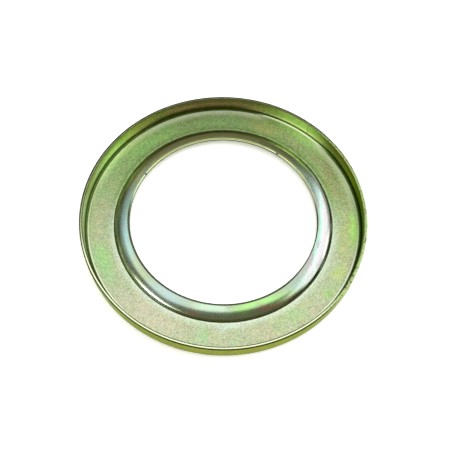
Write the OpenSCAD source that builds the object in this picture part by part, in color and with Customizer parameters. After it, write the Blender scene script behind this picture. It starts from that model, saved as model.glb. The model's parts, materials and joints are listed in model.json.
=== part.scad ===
// Wiper seal ring: one pressed and plated steel ring.
// A flat web carries an upright wall round the outside and a domed wiping lip round the bore.
// The web's back face lies on the plane Z = 0, the ring's axis is Z, and the cup opens upwards.

/* [Ring] */
// Outside diameter of the wall
outer_d = 100; // [92:0.5:140]
// Overall height, from the back face to the rim
height = 7.2; // [4.5:0.1:14]

/* [Sheet] */
// Thickness of the steel strip
sheet_t = 1.2; // [0.8:0.05:2]
// Inside radius of the bend between the web and the wall
wall_bend_r = 0.8; // [0.4:0.1:3]
// Rounding of the two trimmed corners of the rim
rim_edge_r = 0.3; // [0.1:0.05:0.5]

/* [Wiping lip] */
// Diameter of the bore that the shaft runs through
bore_d = 66; // [50:0.5:74]
// Width of the flat land between the bore and the crown's curve
lip_land = 0.4; // [0.3:0.05:2]
// Radius of the lip's domed crown
crown_r = 7.5; // [4:0.1:9]
// Inside radius of the bend that rolls the crown over into the riser
shoulder_bend_r = 0.2; // [0.1:0.05:1]
// Inside radius of the corner where the riser meets the web
lip_corner_r = 0.4; // [0.2:0.05:1]
// Rounding of the bore's upper corner, left by the piercing punch
bore_edge_r = 0.35; // [0.1:0.05:0.8]

/* [Hidden] */
$fn = 180;

plating = [0.62, 0.68, 0.46];

outer_r = outer_d / 2;
bore_r = bore_d / 2;

// Directions in the section, the leaning ones on a 3-4-5 and a 7-24-25 triangle
upright = [0, 1];
outwards = [1, 0];
crown_lean = [0.6, 0.8];
riser_lean = [0.96, 0.28];

// The crown ends where it leans as far as crown_lean, and the shoulder where it leans as far as riser_lean
shoulder_r = shoulder_bend_r + sheet_t;
crown_rise = crown_r * (upright.y - crown_lean.y);
shoulder_rise = shoulder_r * (crown_lean.y - riser_lean.y);
corner_rise = lip_corner_r * (upright.y - riser_lean.y);
crown_top = sheet_t + crown_rise + shoulder_rise + corner_rise;
crown_centre = [bore_r + lip_land, crown_top - crown_r];
shoulder_centre = crown_centre + (crown_r - shoulder_r) * crown_lean;
corner_centre = shoulder_centre + (shoulder_r + lip_corner_r) * riser_lean;
bend_centre = [outer_r - sheet_t - wall_bend_r, sheet_t + wall_bend_r];

// A rounding takes at most this share of the half sheet, or of the land and sheet, that carry it
rounding_share = 0.9;
rim_rounding = min(rim_edge_r, rounding_share * sheet_t / 2);
bore_rounding = min(bore_edge_r, rounding_share * lip_land, rounding_share * sheet_t);

// A rectangle between two opposite corners
module block(low, high) {
    translate(low) square(high - low);
}

// A stretch of sheet bent round a centre, between two directions from it
module bent_sheet(centre, inside_r, from, to) {
    outside_r = inside_r + sheet_t;
    reach = 2 * outside_r;
    intersection() {
        translate(centre) difference() {
            circle(r = outside_r);
            circle(r = inside_r);
        }
        polygon([centre, centre + reach * from, centre + reach * to]);
    }
}

// A rounded corner: the quarter of a disc that lies on one side of its centre, given by signs
module quarter_round(centre, radius, side) {
    intersection() {
        translate(centre) circle(r = radius);
        polygon([
            centre,
            centre + [side.x * radius, 0],
            centre + [side.x * radius, side.y * radius],
            centre + [0, side.y * radius]
        ]);
    }
}

// The flat land at the bore, with its upper corner rounded
module bore_land() {
    rounding = [bore_r + bore_rounding, crown_top - bore_rounding];
    block([bore_r, crown_top - sheet_t], [crown_centre.x, rounding.y]);
    block(rounding, [crown_centre.x, crown_top]);
    quarter_round(rounding, bore_rounding, [-1, 1]);
}

// The domed crown, from the land to the shoulder
module crown() {
    bent_sheet(crown_centre, crown_r - sheet_t, upright, crown_lean);
}

// The shoulder, which rolls the crown over into the riser
module shoulder() {
    bent_sheet(shoulder_centre, shoulder_bend_r, crown_lean, riser_lean);
}

// The corner that turns the riser into the flat web
module lip_corner() {
    bent_sheet(corner_centre, lip_corner_r, -upright, -riser_lean);
}

// The flat web between the lip and the wall
module web() {
    block([corner_centre.x, 0], [bend_centre.x, sheet_t]);
}

// The bend that turns the web up into the wall
module wall_bend() {
    bent_sheet(bend_centre, wall_bend_r, outwards, -upright);
}

// The upright wall, with both corners of its rim rounded
module wall() {
    inner_r = outer_r - sheet_t;
    rounding_z = height - rim_rounding;
    block([inner_r, bend_centre.y], [outer_r, rounding_z]);
    block([inner_r + rim_rounding, rounding_z], [outer_r - rim_rounding, height]);
    quarter_round([inner_r + rim_rounding, rounding_z], rim_rounding, [-1, 1]);
    quarter_round([outer_r - rim_rounding, rounding_z], rim_rounding, [1, 1]);
}

// The whole ring, turned from its section
module wiper_ring() {
    color(plating) rotate_extrude() {
        bore_land();
        crown();
        shoulder();
        lip_corner();
        web();
        wall_bend();
        wall();
    }
}

wiper_ring();
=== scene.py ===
"""Looks of the wiper seal ring: pressed steel with an iridescent zinc plating, on a pale floor."""
import json
import math

import bpy
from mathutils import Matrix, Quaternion, Vector


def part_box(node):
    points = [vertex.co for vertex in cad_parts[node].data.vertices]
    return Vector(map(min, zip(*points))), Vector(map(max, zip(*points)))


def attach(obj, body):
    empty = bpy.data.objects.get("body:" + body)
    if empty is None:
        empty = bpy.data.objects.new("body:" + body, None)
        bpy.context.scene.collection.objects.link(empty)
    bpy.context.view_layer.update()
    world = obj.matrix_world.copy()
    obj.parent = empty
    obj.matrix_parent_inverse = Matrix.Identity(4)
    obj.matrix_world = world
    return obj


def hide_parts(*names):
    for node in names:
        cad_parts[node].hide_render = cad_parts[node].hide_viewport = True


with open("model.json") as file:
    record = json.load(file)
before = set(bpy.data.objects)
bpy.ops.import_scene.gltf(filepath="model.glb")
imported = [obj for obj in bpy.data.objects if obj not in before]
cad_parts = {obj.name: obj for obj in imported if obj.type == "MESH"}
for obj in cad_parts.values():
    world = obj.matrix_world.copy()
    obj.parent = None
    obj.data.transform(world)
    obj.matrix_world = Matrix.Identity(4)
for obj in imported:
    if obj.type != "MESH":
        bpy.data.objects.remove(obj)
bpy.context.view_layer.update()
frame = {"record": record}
MM = 0.001

# Sizes of the ring's section, in metres
RING = "wiper_ring"
LOW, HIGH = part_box(RING)
MOUNTS = {mount["name"]: mount for mount in frame["record"]["mounts"]}
OUTER_R = (HIGH.x - LOW.x) / 2
HEIGHT = HIGH.z
BORE_R = MOUNTS["bore"]["dims"]["r_mm"] * MM
SHEET_T = 1.2 * MM
WALL_BEND_R = 0.8 * MM
RIM_EDGE_R = 0.3 * MM
LIP_LAND = 0.4 * MM
CROWN_R = 7.5 * MM
SHOULDER_BEND_R = 0.2 * MM
LIP_CORNER_R = 0.4 * MM
BORE_EDGE_R = 0.35 * MM
BURR_BREAK = 0.08 * MM

# The lip's crown runs down to a shoulder, and the shoulder to a steep riser that meets the web in a corner
CROWN_LEAN = Vector((0.6, 0.8))
RISER_LEAN = Vector((0.96, 0.28))
CROWN_DEG = math.degrees(math.atan2(CROWN_LEAN.y, CROWN_LEAN.x))
RISER_DEG = math.degrees(math.atan2(RISER_LEAN.y, RISER_LEAN.x))
SHOULDER_R = SHOULDER_BEND_R + SHEET_T
CROWN_RISE = CROWN_R * (1 - CROWN_LEAN.y)
SHOULDER_RISE = SHOULDER_R * (CROWN_LEAN.y - RISER_LEAN.y)
CORNER_RISE = LIP_CORNER_R * (1 - RISER_LEAN.y)
CROWN_TOP = SHEET_T + CROWN_RISE + SHOULDER_RISE + CORNER_RISE
CROWN_CENTRE = Vector((BORE_R + LIP_LAND, CROWN_TOP - CROWN_R))
SHOULDER_CENTRE = CROWN_CENTRE + (CROWN_R - SHOULDER_R) * CROWN_LEAN
CORNER_CENTRE = SHOULDER_CENTRE + (SHOULDER_R + LIP_CORNER_R) * RISER_LEAN
INNER_R = OUTER_R - SHEET_T
BEND_CENTRE = Vector((INNER_R - WALL_BEND_R, SHEET_T + WALL_BEND_R))

# The mesh: segments round the ring, and loops that lie close to the ends of a straight stretch
SEGMENTS = 960
EDGE_LOOP = 0.05 * MM
MAX_EDGE_SHARE = 0.2

# Nicks: angle round the ring in degrees, radius and height of the dent's centre, radius of the dent
NICKS = [
    (-8, OUTER_R + 0.15 * MM, HEIGHT + 0.10 * MM, 0.50 * MM),
    (-14, OUTER_R + 0.20 * MM, HEIGHT + 0.05 * MM, 0.45 * MM),
    (-33, OUTER_R + 0.12 * MM, HEIGHT + 0.12 * MM, 0.45 * MM),
    (-49, OUTER_R + 0.15 * MM, HEIGHT + 0.10 * MM, 0.55 * MM),
    (12, OUTER_R + 0.18 * MM, HEIGHT + 0.10 * MM, 0.45 * MM),
    (51, INNER_R - 0.20 * MM, HEIGHT + 0.10 * MM, 0.45 * MM),
    (150, BORE_R - 0.10 * MM, CROWN_TOP + 0.10 * MM, 0.50 * MM),
    (54.5, BORE_R - 0.10 * MM, CROWN_TOP + 0.12 * MM, 0.50 * MM),
]

# Camera
IMAGE_PX = 452
FOCAL_PX = 692.5
SENSOR_MM = 36
CLIP_START = 0.01
CAMERA_DISTANCE = 246.1 * MM
CAMERA_ELEVATION = math.radians(61.57)
CAMERA_ROLL = math.radians(1.91)
CAMERA_TARGET = Vector((0.95, -2.64, 1.2)) * MM

# Light: a dim sky, a soft box overhead, and a wash for the floor that no reflection shows
SKY = (0.21, 0.2, 0.16, 1)
SKY_STRENGTH = 1.0
OVERHEAD_AT = Vector((-0.02, 0.15, 1.0))
OVERHEAD_SIZE = (1.5, 0.94)
OVERHEAD_RADIANCE = 1.1
OVERHEAD_TURN = math.radians(12)
WASH_AT = Vector((0, 0, 1.4))
WASH_SIZE = (2.5, 2.5)
WASH_RADIANCE = 1.0

# Windows: name, azimuth and elevation in degrees, width and height in metres, radiance
WINDOW_DISTANCE = 1.2
WINDOWS = [
    ("right_window", 14, 30, (1.5, 1.15), 1.9),
    ("left_wall", 145, 50, (1.0, 0.6), 0.4),
    ("left_window", 214, 21, (0.76, 0.58), 3.2),
]

# Stage, in metres
FLOOR_HALF = 3.0
FLOOR_FINISH = {
    "Base Color": (0.92, 0.92, 0.92, 1),
    "Emission Color": (1, 1, 1, 1),
    "Emission Strength": 0.25,
    "Roughness": 0.9,
    "Specular IOR Level": 0.1,
}
BACKDROP_R = 2.9
BACKDROP_HEIGHT = 4.0
BACKDROP_SEGMENTS = 64
BACKDROP_FINISH = {
    "Base Color": (0, 0, 0, 1),
    "Specular IOR Level": 0.0,
    "Emission Color": (0.94, 0.94, 0.94, 1),
    "Emission Strength": 1.0,
}

# Places on the section in millimetres, for the material: radii, then heights
BORE_AT = BORE_R / MM
SHOULDER_AT = (CROWN_CENTRE.x + CROWN_R * CROWN_LEAN.x) / MM
LIP_FOOT_AT = CORNER_CENTRE.x / MM
BEND_AT = BEND_CENTRE.x / MM
WALL_AT = INNER_R / MM
RIM_AT = (INNER_R + OUTER_R) / 2 / MM
WEB_LEVEL = SHEET_T / MM
BEND_LEVEL = BEND_CENTRE.y / MM
LIP_LEVEL = CROWN_TOP / MM
RIM_LEVEL = HEIGHT / MM

# Reflectance of the plating, zone by zone, with the colours of painted highlights and painted shade
WEB_NEAR = (0.47, 0.53, 0.34)
WEB_FAR = (0.34, 0.51, 0.20)
WEB_EDGE_PALE = (0.62, 0.72, 0.56)
# Painted highlight lines along the web's edges
WEB_HIGHLIGHT_LINE = (0.78, 0.86, 0.66)
WEB_BLOOM = (0.76, 0.90, 0.56)
WEB_EDGE_DARK = (0.22, 0.37, 0.10)
LIP_NEAR = (0.42, 0.50, 0.33)
LIP_FAR = (0.54, 0.60, 0.29)
RISER_NEAR = (0.70, 0.66, 0.44)
RISER_FAR = (0.50, 0.56, 0.25)
RISER_RIGHT = (0.05, 0.09, 0.03)
WALL_INSIDE = (0.34, 0.42, 0.14)
WALL_OUTSIDE = (0.355, 0.345, 0.13)
WALL_TOP_RIGHT = (0.16, 0.11, 0.04)
# Painted shade at the top of the inside wall on the left
WALL_TOP_LEFT_SHADE = (0.24, 0.29, 0.12)
# A pale band along the rim's cut, partly its own colour and partly a painted highlight
RIM_CUT_HIGHLIGHT = (0.78, 0.86, 0.58)
RIM_CUT_FAR = (0.36, 0.42, 0.22)
# Painted shade on the rim's corners
RIM_CORNER_SHADE = (0.08, 0.10, 0.03)
RIM_RIGHT = (0.32, 0.44, 0.18)
RIM_SPECK = (0.05, 0.07, 0.02)
BACK = (0.40, 0.46, 0.22)
# Painted shade in the bend at the inside wall's foot, then a painted highlight on that bend
BEND_SHADE = (0.16, 0.20, 0.08)
BEND_GLINT = (0.90, 0.98, 0.74)
# Painted shade in the lip's crease, round the bore's edge and on the rim's outer corner, and how strongly it
# is laid on
EDGE_SHADE = (0.03, 0.045, 0.02)
EDGE_SHADE_SHARE = 0.9

# Tint of the reflection at a glancing angle, clean and under painted shade, and how far the painted shade in
# the bend dulls it
GLANCING = (0.50, 0.62, 0.32)
GLANCING_SHADED = (0.06, 0.08, 0.04)
BEND_SHADE_DULLS = 0.6

# Gloss of the film, and how far the speckle changes it
WEB_ROUGHNESS = 0.34
SMOOTH_ROUGHNESS = 0.22
ROUGHNESS_SPREAD = 0.06
BLOOM_METALLIC = 0.55
BUMP_STRENGTH = 0.5
BUMP_DEPTH = 0.01 * MM

# Grain of the film: cells to the millimetre, and the share of each layer on the web and on the lip
TINT_SCALE = 0.4
GRAIN_SCALE = 2.2
SPECK_SCALE = 1.3
TINT_SHARES = (0.19, 0.10)
GRAIN_TINT_SHARES = (0.16, 0.05)
SPECKLE_SHARES = (0.9, 0.25)
FAR_SPECKLE_SHARES = (0.3, 0.1)

# Clouds of colour in the film: angle round the ring in degrees, radius, half-widths along and across the ring
# in millimetres, reflectance, strength
WEB_CLOUDS = [
    (-8, 44.0, 14, 3.0, (0.44, 0.52, 0.20), 0.6),
    (-3, 46.4, 9, 2.0, (0.46, 0.82, 0.20), 0.9),
    (-27, 45.0, 3.5, 2.5, (0.46, 0.66, 0.16), 0.5),
    (-36, 45.5, 3, 2.5, (0.36, 0.60, 0.20), 0.6),
    (-45, 46.0, 4, 2, (0.52, 0.50, 0.34), 0.6),
    (-57, 43.0, 8, 4, (0.42, 0.58, 0.28), 0.5),
    (-70, 44.0, 5, 4, (0.54, 0.52, 0.34), 0.5),
    (-86, 40.6, 4, 1.6, (0.56, 0.74, 0.60), 0.8),
    (-98, 44.0, 2.5, 5, (0.40, 0.62, 0.32), 0.6),
    (-122, 43.5, 15, 5, (0.58, 0.57, 0.42), 0.8),
    (-157, 44.5, 8, 4, (0.36, 0.64, 0.26), 0.8),
    (180, 42.5, 8, 4, (0.50, 0.53, 0.33), 0.7),
    (130, 43.0, 12, 5, (0.36, 0.70, 0.22), 0.6),
    (70, 42.5, 8, 4, (0.52, 0.58, 0.20), 0.6),
    (45, 45.5, 10, 3, (0.40, 0.70, 0.24), 0.6),
    (24, 43.0, 12, 4, (0.37, 0.42, 0.17), 0.85),
    (92, 43.5, 9, 4, (0.36, 0.60, 0.25), 0.5),
    (47, 42.3, 13, 2.2, (0.44, 0.46, 0.23), 0.55),
]
CROWN_CLOUDS = [
    (-22, 35.8, 22, 4.5, (0.45, 0.44, 0.46), 1.0),
    (8, 35.8, 22, 4.5, (0.45, 0.44, 0.45), 1.0),
    (-6, 33.4, 20, 0.9, (0.42, 0.74, 0.60), 0.9),
    (-60, 37.6, 7, 1.3, (0.62, 0.34, 0.24), 0.8),
    (-45, 35.6, 6, 2.4, (0.36, 0.48, 0.42), 0.9),
    (-70, 34.8, 12, 2.2, (0.42, 0.78, 0.28), 0.9),
    (-104, 37.4, 3, 1.2, (0.62, 0.35, 0.26), 0.7),
    (-95, 35.2, 8, 2.2, (0.60, 0.80, 0.64), 0.8),
    (-122, 35.0, 9, 2.5, (0.46, 0.62, 0.60), 0.9),
    (-168, 34.6, 14, 2.2, (0.33, 0.52, 0.52), 0.9),
    (170, 34.6, 8, 2.2, (0.30, 0.48, 0.45), 0.85),
    (150, 34.0, 10, 1.6, (0.34, 0.42, 0.27), 0.7),
    (128, 35.0, 7, 1.6, (0.60, 0.54, 0.34), 0.45),
    (35, 35.0, 8, 2.5, (0.42, 0.68, 0.52), 0.7),
    (20, 34.2, 8, 1.7, (0.30, 0.44, 0.40), 0.85),
    (52, 34.0, 14, 1.5, (0.36, 0.42, 0.24), 0.7),
]

# Marks with a steadier outline, all painted light: painted highlights and painted shade on the shoulder, the
# riser and the crease, then on the bore's edge and in its nicks: rows as above
LIP_MARKS_AND_PAINTED_LIGHT = [
    (-172, 37.6, 27, 1.0, (0.09, 0.10, 0.06), 0.9),
    (155, 37.3, 10, 1.0, (0.20, 0.22, 0.10), 0.8),
    (168, 37.0, 9, 0.8, (0.14, 0.16, 0.10), 0.9),
    (20, 37.9, 5, 0.6, (0.14, 0.24, 0.11), 0.8),
    (-14, 37.4, 13, 0.6, (0.95, 0.94, 0.92), 0.9),
    (-47, 37.8, 5, 0.7, (0.16, 0.17, 0.10), 0.85),
    (52, 36.4, 14, 1.6, (0.23, 0.26, 0.18), 0.9),
    (180, 38.2, 14, 0.4, (0.70, 0.64, 0.60), 0.85),
    (-154, 38.0, 5, 0.6, (0.26, 0.26, 0.22), 0.85),
    (-127, 38.1, 11.5, 0.8, (0.95, 1.0, 0.95), 1.0),
    (0, 38.6, 20, 0.4, (0.03, 0.05, 0.02), 0.95),
    (154, 33.2, 10, 0.4, (0.50, 0.66, 0.48), 0.65),
    (150, 33.2, 0.3, 0.4, (0.05, 0.06, 0.03), 1.0),
    (54.5, 33.2, 0.4, 0.5, (0.05, 0.06, 0.03), 1.0),
]

# Stretches of the inside wall: tints of the film, painted highlights (the bright green ones) and painted
# shade (the darkest), the last two a scratch drawn as a painted glint beside a darker line: angle in degrees,
# half-width along the wall in millimetres, reflectance, strength
WALL_STRETCHES_AND_PAINTED_LIGHT = [
    (-2, 38, (0.08, 0.15, 0.025), 1.0),
    (98, 34, (0.55, 0.36, 0.22), 1.0),
    (-166, 20, (0.74, 0.96, 0.54), 1.0),
    (127, 9, (0.36, 0.32, 0.13), 0.9),
    (152, 9, (0.50, 0.66, 0.30), 0.9),
    (30, 12, (0.14, 0.15, 0.06), 0.9),
    (57, 12, (0.84, 1.0, 0.44), 1.0),
    (51.6, 0.3, (0.95, 1.0, 0.70), 0.8),
    (50.9, 0.25, (0.16, 0.20, 0.06), 0.5),
]
STRETCH_ACROSS = 6

# A cloud is full within the first of these shares of its half-width and fades out at the second
CLOUD_FULL, CLOUD_GONE = 0.2, 1.4
# How far the clouds' outlines wander, in millimetres, and the cells to the millimetre of that wander
CLOUD_WARP = 3.0
WARP_SCALE = 0.16


def arc(centre, radius, start, end, steps):
    """Points along an arc of the section, both ends included; degrees, from outwards to upwards."""
    points = []
    for i in range(steps + 1):
        angle = math.radians(start + (end - start) * i / steps)
        points.append((centre[0] + radius * math.cos(angle), centre[1] + radius * math.sin(angle)))
    return points


def run(start, end, steps):
    """Points between the ends of a straight stretch; a loop close to each end keeps its shading flat."""
    near = min(EDGE_LOOP / math.dist(start, end), MAX_EDGE_SHARE)
    shares = [near] + [near + (1 - 2 * near) * i / steps for i in range(1, steps)] + [1 - near]
    return [(start[0] + (end[0] - start[0]) * s, start[1] + (end[1] - start[1]) * s) for s in shares]


def section():
    """The ring's closed section as (radius, height) points, from the bore's edge round the sheet."""
    bore_round = (BORE_R + BORE_EDGE_R, CROWN_TOP - BORE_EDGE_R)
    rim_low = HEIGHT - RIM_EDGE_R
    back_edge = CROWN_TOP - SHEET_T
    top = arc(bore_round, BORE_EDGE_R, 180, 90, 6)
    top += arc(CROWN_CENTRE, CROWN_R, 90, CROWN_DEG, 10)
    top += arc(SHOULDER_CENTRE, SHOULDER_R, CROWN_DEG, RISER_DEG, 8)[1:]
    top += arc(CORNER_CENTRE, LIP_CORNER_R, 180 + RISER_DEG, 270, 6)[1:]
    top += run((CORNER_CENTRE.x, SHEET_T), (BEND_CENTRE.x, SHEET_T), 6)
    top += arc(BEND_CENTRE, WALL_BEND_R, 270, 360, 7)
    top += run((INNER_R, BEND_CENTRE.y), (INNER_R, rim_low), 4)
    top += arc((INNER_R + RIM_EDGE_R, rim_low), RIM_EDGE_R, 180, 90, 4)
    top += arc((OUTER_R - RIM_EDGE_R, rim_low), RIM_EDGE_R, 90, 0, 4)
    back = run((OUTER_R, rim_low), (OUTER_R, BEND_CENTRE.y), 4)
    back += arc(BEND_CENTRE, WALL_BEND_R + SHEET_T, 0, -90, 8)
    back += run((BEND_CENTRE.x, 0), (CORNER_CENTRE.x, 0), 2)
    back += arc(CORNER_CENTRE, LIP_CORNER_R + SHEET_T, 270, 180 + RISER_DEG, 6)
    back += arc(SHOULDER_CENTRE, SHOULDER_BEND_R, RISER_DEG, CROWN_DEG, 4)[1:]
    back += arc(CROWN_CENTRE, CROWN_R - SHEET_T, CROWN_DEG, 90, 5)[1:]
    back += [(BORE_R + BURR_BREAK, back_edge), (BORE_R, back_edge + BURR_BREAK)]
    return top + back


def on_ring(degrees, radius, height):
    """The point at an angle round the ring."""
    angle = math.radians(degrees)
    return Vector((radius * math.cos(angle), radius * math.sin(angle), height))


def dented(point, dents):
    """The point, pushed out to the surface of any dent that it lies in."""
    for centre, radius in dents:
        away = point - centre
        if away.length < radius:
            point = centre + away * (radius / away.length)
    return point


def ring_mesh(name, points, segments):
    """A closed mesh turned from the section about Z, with the nicks pressed into it."""
    count = len(points)
    dents = [(on_ring(degrees, r, z), size) for degrees, r, z, size in NICKS]
    verts = []
    for i in range(segments):
        degrees = 360 * i / segments
        verts += [dented(on_ring(degrees, r, z), dents) for r, z in points]
    faces = []
    for i in range(segments):
        here, after = i * count, (i + 1) % segments * count
        for j in range(count):
            k = (j + 1) % count
            faces.append((here + j, here + k, after + k, after + j))
    mesh = bpy.data.meshes.new(name)
    mesh.from_pydata(verts, [], faces)
    mesh.polygons.foreach_set("use_smooth", [True] * len(faces))
    mesh.update()
    return mesh


def linked(name, data):
    """A new object that holds the data, linked to the scene."""
    thing = bpy.data.objects.new(name, data)
    bpy.context.scene.collection.objects.link(thing)
    return thing


def make_ring():
    """The plated ring, in place of the plain solid."""
    ring = linked("plated_ring", ring_mesh("plated_ring", section(), SEGMENTS))
    ring.data.materials.append(plated_steel())
    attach(ring, "root")
    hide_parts(RING)


class Graph:
    """Short calls for the nodes of one material."""
    MIX_FACTOR, MIX_FIRST, MIX_SECOND, MIX_RESULT = 0, 6, 7, 2

    def __init__(self, material):
        self.tree = material.node_tree

    def add(self, kind, inputs, **settings):
        node = self.tree.nodes.new(kind)
        for name, value in settings.items():
            setattr(node, name, value)
        for key, value in inputs.items():
            self.plug(node.inputs[key], value)
        return node

    def plug(self, socket, value):
        if isinstance(value, bpy.types.NodeSocket):
            self.tree.links.new(value, socket)
        elif socket.type == "RGBA":
            socket.default_value = (*value, 1)
        else:
            socket.default_value = value

    def math(self, operation, first, second=0.0):
        return self.add("ShaderNodeMath", {0: first, 1: second}, operation=operation).outputs[0]

    def product(self, first, *others):
        for other in others:
            first = self.math("MULTIPLY", first, other)
        return first

    def total(self, first, *others):
        """The sum of the values, but no more than 1."""
        for other in others:
            first = self.math("ADD", first, other)
        return self.math("MINIMUM", first, 1.0)

    def vector(self, operation, first, second=(0, 0, 0)):
        return self.add("ShaderNodeVectorMath", {0: first, 1: second}, operation=operation).outputs

    def step(self, value, low, high):
        """0 at low and 1 at high, with a smooth change between them."""
        inputs = {"Value": value, "From Min": low, "From Max": high}
        return self.add("ShaderNodeMapRange", inputs, interpolation_type="SMOOTHSTEP").outputs[0]

    def band(self, value, centre, half, soft):
        """1 within half of the centre, fading to 0 over the soft width on both sides."""
        offset = self.math("ABSOLUTE", self.math("SUBTRACT", value, centre))
        return self.step(offset, half + soft, half)

    def span(self, value, low, high):
        """A number from low to high as the value goes from 0 to 1."""
        return self.add("ShaderNodeMapRange", {"Value": value, "To Min": low, "To Max": high}).outputs[0]

    def mix(self, factor, first, second, blend_type="MIX"):
        inputs = {self.MIX_FACTOR: factor, self.MIX_FIRST: first, self.MIX_SECOND: second}
        node = self.add("ShaderNodeMix", inputs, data_type="RGBA", blend_type=blend_type)
        return node.outputs[self.MIX_RESULT]

    def noise(self, coords, scale, detail, roughness=0.5):
        inputs = {"Vector": coords, "Scale": scale, "Detail": detail, "Roughness": roughness}
        return self.add("ShaderNodeTexNoise", inputs).outputs


class RingPlace:
    """Sockets that say where on the ring a point is, in millimetres; right and far run from -1 to 1."""

    def __init__(self, graph):
        coords = graph.add("ShaderNodeTexCoord", {}).outputs
        self.point = graph.vector("MULTIPLY", coords["Object"], (1 / MM, 1 / MM, 1 / MM))[0]
        self.flat = graph.vector("MULTIPLY", self.point, (1, 1, 0))[0]
        self.radius = graph.vector("LENGTH", self.flat)["Value"]
        x, y, self.height = graph.add("ShaderNodeSeparateXYZ", {0: self.point}).outputs
        self.facing_up = graph.add("ShaderNodeSeparateXYZ", {0: coords["Normal"]}).outputs["Z"]
        self.right = graph.math("DIVIDE", x, self.radius)
        self.far = graph.math("DIVIDE", y, self.radius)
        drift = graph.noise(self.point, WARP_SCALE, detail=3.0)["Color"]
        wander = graph.vector("SUBTRACT", drift, (0.5, 0.5, 0.5))[0]
        wander = graph.vector("MULTIPLY", wander, (2 * CLOUD_WARP, 2 * CLOUD_WARP, 0))[0]
        self.warped = graph.vector("ADD", self.flat, wander)[0]


class Zones:
    """Sockets that are 1 on one zone of the ring and 0 elsewhere. What no zone covers is the web."""

    def __init__(self, graph, place):
        above_bend = graph.step(place.height, BEND_LEVEL - 0.5, BEND_LEVEL + 0.1)
        beyond_web = graph.step(place.radius, BEND_AT - 3.0, BEND_AT - 2.0)
        outside = graph.step(place.radius, WALL_AT + 0.1, WALL_AT + 0.4)
        self.lip = graph.step(place.radius, LIP_FOOT_AT, LIP_FOOT_AT - 0.3)
        self.wall = graph.math("MAXIMUM", graph.product(above_bend, beyond_web), outside)
        self.rim = graph.step(place.height, RIM_LEVEL - 0.3, RIM_LEVEL - 0.15)
        self.back = graph.step(place.facing_up, -0.3, -0.9)


def clouds(graph, coords, colour, rows):
    """The colour with soft-edged clouds laid over it, each drawn out along the ring."""
    for degrees, radius, along, across, film, strength in rows:
        inputs = {
            "Vector": coords,
            "Location": on_ring(degrees, radius, 0),
            "Rotation": (0, 0, math.radians(degrees)),
            "Scale": (across, along, 1),
        }
        local = graph.add("ShaderNodeMapping", inputs, vector_type="TEXTURE").outputs[0]
        amount = graph.step(graph.vector("LENGTH", local)["Value"], CLOUD_GONE, CLOUD_FULL)
        colour = graph.mix(graph.product(amount, strength), colour, film)
    return colour


def web_bloom(graph, place):
    """How much dull bloom lies on the web beside the wall: on the far side, but for a bare stretch."""
    rising = graph.step(place.radius, BEND_AT - 3.2, BEND_AT - 0.3)
    ending = graph.step(place.radius, BEND_AT + 0.1, BEND_AT - 0.1)
    far_side = graph.step(place.far, -0.1, 0.4)
    bare = graph.product(graph.band(place.right, 0.5, 0.12, 0.15), 0.8)
    weaker_left = graph.product(graph.step(place.right, -0.5, -0.9), 0.45)
    share = graph.product(graph.span(bare, 1.0, 0.0), graph.span(weaker_left, 1.0, 0.0))
    return graph.product(rising, ending, far_side, share)


def wall_bloom(graph, place):
    """How much dull bloom lies on the left of the inside wall, above the bend."""
    above_bend = graph.step(place.height, BEND_LEVEL, BEND_LEVEL + 1.2)
    on_left = graph.step(place.right, -0.86, -0.96)
    return graph.product(graph.band(place.radius, WALL_AT, 0.1, 0.1), on_left, above_bend)


def lip_bloom(graph, place):
    """How much dull bloom lies on the right of the lip, just inside its shoulder."""
    on_right = graph.step(place.right, 0.75, 0.92)
    upper_face = graph.step(place.height, WEB_LEVEL + 0.7, WEB_LEVEL + 0.9)
    return graph.product(graph.band(place.radius, SHOULDER_AT - 0.7, 0.4, 0.3), on_right, upper_face)


def web_film(graph, place, bloom):
    """Green on the far side and pale on the near side, with edges paler or darker than the middle and painted
    highlight lines beside the lip's foot and the wall.
    """
    film = graph.mix(graph.step(place.far, -0.5, 0.7), WEB_NEAR, WEB_FAR)
    film = clouds(graph, place.warped, film, WEB_CLOUDS)
    edge = graph.mix(graph.step(place.far, -0.2, 0.35), WEB_EDGE_PALE, WEB_EDGE_DARK)
    by_lip = graph.product(graph.step(place.radius, LIP_FOOT_AT + 2.71, LIP_FOOT_AT + 0.41), 0.8)
    film = graph.mix(by_lip, film, edge)
    lip_highlight_line = graph.product(graph.band(place.radius, LIP_FOOT_AT + 0.31, 0.1, 0.15), 0.4)
    film = graph.mix(lip_highlight_line, film, WEB_HIGHLIGHT_LINE)
    film = graph.mix(bloom, film, WEB_BLOOM)
    wall_highlight_line = graph.band(place.radius, BEND_AT - 0.25, 0.15, 0.15)
    return graph.mix(wall_highlight_line, film, WEB_HIGHLIGHT_LINE)


def lip_film(graph, place):
    """Clouds on the crown, a riser that is darkest on the right, and painted highlights and painted shade on
    both.
    """
    behind = graph.step(place.far, -0.5, 0.7)
    crown = clouds(graph, place.warped, graph.mix(behind, LIP_NEAR, LIP_FAR), CROWN_CLOUDS)
    riser = graph.mix(behind, RISER_NEAR, RISER_FAR)
    riser = graph.mix(graph.step(place.right, 0.5, 0.85), riser, RISER_RIGHT)
    film = graph.mix(graph.step(place.radius, SHOULDER_AT - 0.1, SHOULDER_AT + 0.2), crown, riser)
    return clouds(graph, place.flat, film, LIP_MARKS_AND_PAINTED_LIGHT)


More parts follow.
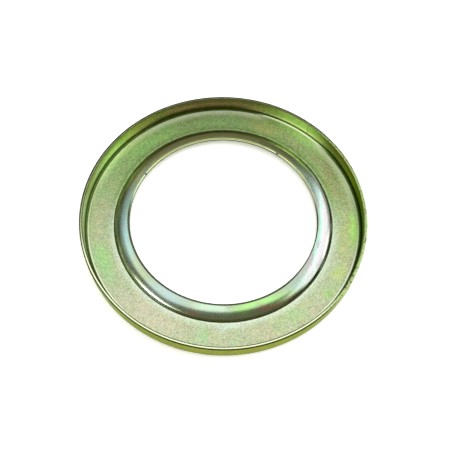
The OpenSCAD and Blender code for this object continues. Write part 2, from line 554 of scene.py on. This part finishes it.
def wall_film(graph, place):
    """Olive, with green and brown stretches inside, some of them painted highlights and painted shade, darker
    at the top on the right and with painted shade at the top on the far left.
    """
    rows = [(degrees, WALL_AT, along, STRETCH_ACROSS, film, strength)
            for degrees, along, film, strength in WALL_STRETCHES_AND_PAINTED_LIGHT]
    inside = clouds(graph, place.flat, WALL_INSIDE, rows)
    high = graph.step(place.height, RIM_LEVEL - 3.2, RIM_LEVEL - 0.7)
    high_right = graph.product(high, graph.step(place.right, 0.6, 0.9))
    inside = graph.mix(high_right, inside, WALL_TOP_RIGHT)
    # Painted shade at the top of the wall on the far left
    high = graph.step(place.height, RIM_LEVEL - 2.6, RIM_LEVEL - 0.8)
    far_left = graph.product(graph.band(place.right, -0.88, 0.08, 0.1), graph.step(place.far, 0.0, 0.2))
    inside = graph.mix(graph.product(high, far_left, 0.8), inside, WALL_TOP_LEFT_SHADE)
    return graph.mix(graph.step(place.radius, RIM_AT - 0.1, RIM_AT + 0.3), inside, WALL_OUTSIDE)


def rim_film(graph, place):
    """The trimmed edge: a pale band along the cut, partly its own colour and partly a painted highlight,
    duller on the far side; painted shade on its corners; green and specked on the right.
    """
    on_right = graph.step(place.right, 0.6, 0.85)
    cut = graph.mix(graph.step(place.far, -0.45, -0.1), RIM_CUT_HIGHLIGHT, RIM_CUT_FAR)
    film = graph.mix(graph.band(place.radius, RIM_AT - 0.03, 0.17, 0.12), RIM_CORNER_SHADE, cut)
    film = graph.mix(on_right, film, RIM_RIGHT)
    specks = graph.step(graph.noise(place.point, SPECK_SCALE, detail=1.0)["Fac"], 0.63, 0.67)
    return graph.mix(graph.product(specks, on_right), film, RIM_SPECK)


def bend_glint(graph, place):
    """How strong the painted highlight on the bend is, on its bare stretch at the far right."""
    stretch = graph.product(graph.band(place.right, 0.52, 0.18, 0.12), graph.step(place.far, 0.2, 0.4))
    return graph.product(stretch, graph.band(place.radius, BEND_AT + 0.1, 0.25, 0.15))


def bend_shade(graph, place):
    """How much painted shade lies on the foot of the inside wall: in the bend all round, and higher up on the
    far side.
    """
    in_bend = graph.step(place.height, BEND_LEVEL + 0.5, BEND_LEVEL - 0.1)
    far_side = graph.product(graph.band(place.right, -0.2, 0.25, 0.3), graph.step(place.far, 0.0, 0.3))
    higher_up = graph.product(graph.step(place.height, BEND_LEVEL + 3.4, BEND_LEVEL + 0.4), far_side)
    on_foot = graph.band(place.radius, BEND_AT + 0.5, 0.4, 0.15)
    upper_face = graph.step(place.height, WEB_LEVEL - 0.3, WEB_LEVEL - 0.1)
    return graph.product(on_foot, graph.math("MAXIMUM", in_bend, higher_up), upper_face)


def crease_shade(graph, place, near_half):
    """How much painted shade lies in the crease at the lip's foot."""
    upper_face = graph.step(place.height, WEB_LEVEL - 0.4, WEB_LEVEL - 0.2)
    return graph.product(graph.band(place.radius, LIP_FOOT_AT - 0.18, 0.14, 0.12), near_half, upper_face)


def bore_edge_shade(graph, place, near_half):
    """How much painted shade lies on the bore's edge: its upper corner on the near half, thinner on the
    right, and its wall.
    """
    thinner = graph.span(graph.step(place.right, 0.6, 0.9), 0.0, 0.35)
    from_bore = graph.math("ADD", place.radius, thinner)
    upper_face = graph.step(place.height, LIP_LEVEL - 0.816, LIP_LEVEL - 0.516)
    corner = graph.product(graph.step(from_bore, BORE_AT + 0.9, BORE_AT + 0.6), near_half, upper_face)
    below_corner = graph.step(place.height, LIP_LEVEL - 0.466, LIP_LEVEL - 0.716)
    wall = graph.product(graph.step(place.radius, BORE_AT + 0.3, BORE_AT + 0.1), below_corner)
    return graph.math("ADD", corner, wall)


def rim_outer_shade(graph, place):
    """How much painted shade lies on the rim's outer corner: wider and darker on the far side, and none on
    the right.
    """
    wider = graph.span(graph.step(place.far, -0.3, 0.2), 0.0, 0.2)
    from_edge = graph.math("ADD", place.radius, wider)
    corner = graph.step(from_edge, RIM_AT + 0.1, RIM_AT + 0.25)
    at_top = graph.step(place.height, RIM_LEVEL - 0.6, RIM_LEVEL - 0.35)
    off_right = graph.step(place.right, 0.85, 0.6)
    darker = graph.span(graph.step(place.far, -0.5, 0.0), 0.5, 1.0)
    return graph.product(corner, at_top, off_right, darker)


def painted_edge_shade(graph, place):
    """How much painted shade lies in the lip's crease, round the bore's edge and on the rim's outer corner.
    """
    near_half = graph.step(place.far, 0.3, 0.0)
    crease = crease_shade(graph, place, near_half)
    return graph.total(crease, bore_edge_shade(graph, place, near_half), rim_outer_shade(graph, place))


def grained(graph, place, zones, colour, grain):
    """The colour with a soft play of tints and a fine speckle, which is stronger on the far side."""
    tints = graph.noise(place.point, TINT_SCALE, detail=3.0, roughness=0.6)["Color"]
    colour = graph.mix(graph.span(zones.lip, *TINT_SHARES), colour, tints, "OVERLAY")
    colour = graph.mix(graph.span(zones.lip, *GRAIN_TINT_SHARES), colour, grain["Color"], "OVERLAY")
    colour = graph.mix(graph.span(zones.lip, *SPECKLE_SHARES), colour, grain["Fac"], "OVERLAY")
    far_side = graph.step(place.far, -0.3, 0.5)
    far_share = graph.product(far_side, graph.span(zones.lip, *FAR_SPECKLE_SHARES))
    return graph.mix(far_share, colour, grain["Fac"], "OVERLAY")


def plated_steel():
    """Zinc plating with a passivated film: colour zone by zone, then painted shade and painted highlights,
    grain, bloom and gloss.
    """
    material = bpy.data.materials.new("plated_steel")
    material.use_nodes = True
    shader = material.node_tree.nodes["Principled BSDF"]
    graph = Graph(material)
    place = RingPlace(graph)
    zones = Zones(graph, place)

    # Colour of the film on each zone, with painted highlights and painted shade among it
    far_bloom = web_bloom(graph, place)
    colour = graph.mix(zones.lip, web_film(graph, place, far_bloom), lip_film(graph, place))
    colour = graph.mix(zones.wall, colour, wall_film(graph, place))
    colour = graph.mix(zones.rim, colour, rim_film(graph, place))

    # Painted shade and a painted highlight laid on it, and the plain back
    bend_shaded = bend_shade(graph, place)
    edge_shaded = painted_edge_shade(graph, place)
    colour = graph.mix(bend_shaded, colour, BEND_SHADE, "MULTIPLY")
    colour = graph.mix(bend_glint(graph, place), colour, BEND_GLINT)
    colour = graph.mix(graph.product(edge_shaded, EDGE_SHADE_SHARE), colour, EDGE_SHADE)
    colour = graph.mix(zones.back, colour, BACK)

    # Grain, reflections that the painted shade dulls, and bloom
    grain = graph.noise(place.point, GRAIN_SCALE, detail=2.0, roughness=0.7)
    graph.plug(shader.inputs["Base Color"], grained(graph, place, zones, colour, grain))
    dull = graph.math("MAXIMUM", edge_shaded, graph.product(bend_shaded, BEND_SHADE_DULLS))
    graph.plug(shader.inputs["Specular Tint"], graph.mix(dull, GLANCING, GLANCING_SHADED))
    bloom = graph.total(far_bloom, wall_bloom(graph, place), lip_bloom(graph, place))
    graph.plug(shader.inputs["Metallic"], graph.span(bloom, 1.0, BLOOM_METALLIC))

    # Gloss: the lip and the wall are smoother than the web, and the speckle breaks it up
    smooth = graph.math("MAXIMUM", zones.lip, zones.wall)
    roughness = graph.span(smooth, WEB_ROUGHNESS, SMOOTH_ROUGHNESS)
    uneven = graph.span(grain["Fac"], -ROUGHNESS_SPREAD, ROUGHNESS_SPREAD)
    graph.plug(shader.inputs["Roughness"], graph.math("ADD", roughness, uneven))
    inputs = {"Height": grain["Fac"], "Strength": BUMP_STRENGTH, "Distance": BUMP_DEPTH}
    graph.plug(shader.inputs["Normal"], graph.add("ShaderNodeBump", inputs).outputs["Normal"])
    return material


def plain_material(name, finish):
    """A material that is the same all over, with each value set on the shader's own socket."""
    material = bpy.data.materials.new(name)
    material.use_nodes = True
    shader = material.node_tree.nodes["Principled BSDF"]
    for socket, value in finish.items():
        shader.inputs[socket].default_value = value
    return material


def pale_floor():
    """A plain square floor."""
    half = FLOOR_HALF
    corners = [(-half, -half, 0), (half, -half, 0), (half, half, 0), (-half, half, 0)]
    mesh = bpy.data.meshes.new("floor")
    mesh.from_pydata(corners, [], [(0, 1, 2, 3)])
    mesh.materials.append(plain_material("pale_floor", FLOOR_FINISH))
    floor = linked("floor", mesh)


def pale_backdrop():
    """A round wall on the floor. Only the camera sees it, so it leaves the light on the ring as it is."""
    turns = [360 * i / BACKDROP_SEGMENTS for i in range(BACKDROP_SEGMENTS)]
    verts = [on_ring(degrees, BACKDROP_R, z) for degrees in turns for z in (0, BACKDROP_HEIGHT)]
    faces = []
    for here in range(0, len(verts), 2):
        after = (here + 2) % len(verts)
        faces.append((here, here + 1, after + 1, after))
    mesh = bpy.data.meshes.new("backdrop")
    mesh.from_pydata(verts, [], faces)
    mesh.materials.append(plain_material("pale_backdrop", BACKDROP_FINISH))
    backdrop = linked("backdrop", mesh)
    backdrop.visible_diffuse = False
    backdrop.visible_glossy = False
    backdrop.visible_transmission = False
    backdrop.visible_shadow = False


def make_camera():
    """The camera, at the angle from which the photograph was taken."""
    data = bpy.data.cameras.new("camera")
    data.sensor_width = SENSOR_MM
    data.lens = SENSOR_MM * FOCAL_PX / IMAGE_PX
    data.clip_start = CLIP_START
    camera = linked("camera", data)
    back = Vector((0, -math.cos(CAMERA_ELEVATION), math.sin(CAMERA_ELEVATION)))
    camera.location = Vector((0, 0, SHEET_T)) + CAMERA_DISTANCE * back
    look = CAMERA_TARGET - camera.location
    camera.rotation_mode = "QUATERNION"
    camera.rotation_quaternion = look.to_track_quat("-Z", "Y") @ Quaternion((0, 0, 1), CAMERA_ROLL)
    bpy.context.scene.camera = camera


def soft_light(name, location, size, radiance, target=(0, 0, 0), in_reflections=True):
    """A soft box that faces its target; its power follows from its area and the brightness of its face."""
    data = bpy.data.lights.new(name, "AREA")
    data.shape = "RECTANGLE"
    data.size, data.size_y = size
    data.energy = math.pi * data.size * data.size_y * radiance
    light = linked(name, data)
    light.location = location
    light.rotation_mode = "QUATERNION"
    light.rotation_quaternion = (Vector(target) - location).to_track_quat("-Z", "Y")
    light.visible_glossy = in_reflections
    return light


def make_light():
    """The sky and the soft boxes. The box overhead hangs level and is turned a little about the vertical."""
    world = bpy.data.worlds.new("studio")
    bpy.context.scene.world = world
    world.use_nodes = True
    background = world.node_tree.nodes["Background"]
    background.inputs["Color"].default_value = SKY
    background.inputs["Strength"].default_value = SKY_STRENGTH
    below = (OVERHEAD_AT.x, OVERHEAD_AT.y, 0)
    overhead = soft_light("overhead", OVERHEAD_AT, OVERHEAD_SIZE, OVERHEAD_RADIANCE, target=below)
    overhead.rotation_quaternion = Quaternion((0, 0, 1), OVERHEAD_TURN) @ overhead.rotation_quaternion
    for name, azimuth, elevation, size, radiance in WINDOWS:
        rise = math.radians(elevation)
        place = on_ring(azimuth, WINDOW_DISTANCE * math.cos(rise), WINDOW_DISTANCE * math.sin(rise))
        soft_light(name, place, size, radiance)
    soft_light("floor_wash", WASH_AT, WASH_SIZE, WASH_RADIANCE, in_reflections=False)


bpy.context.scene.view_settings.view_transform = "Standard"
make_ring()
pale_floor()
pale_backdrop()
make_camera()
make_light()
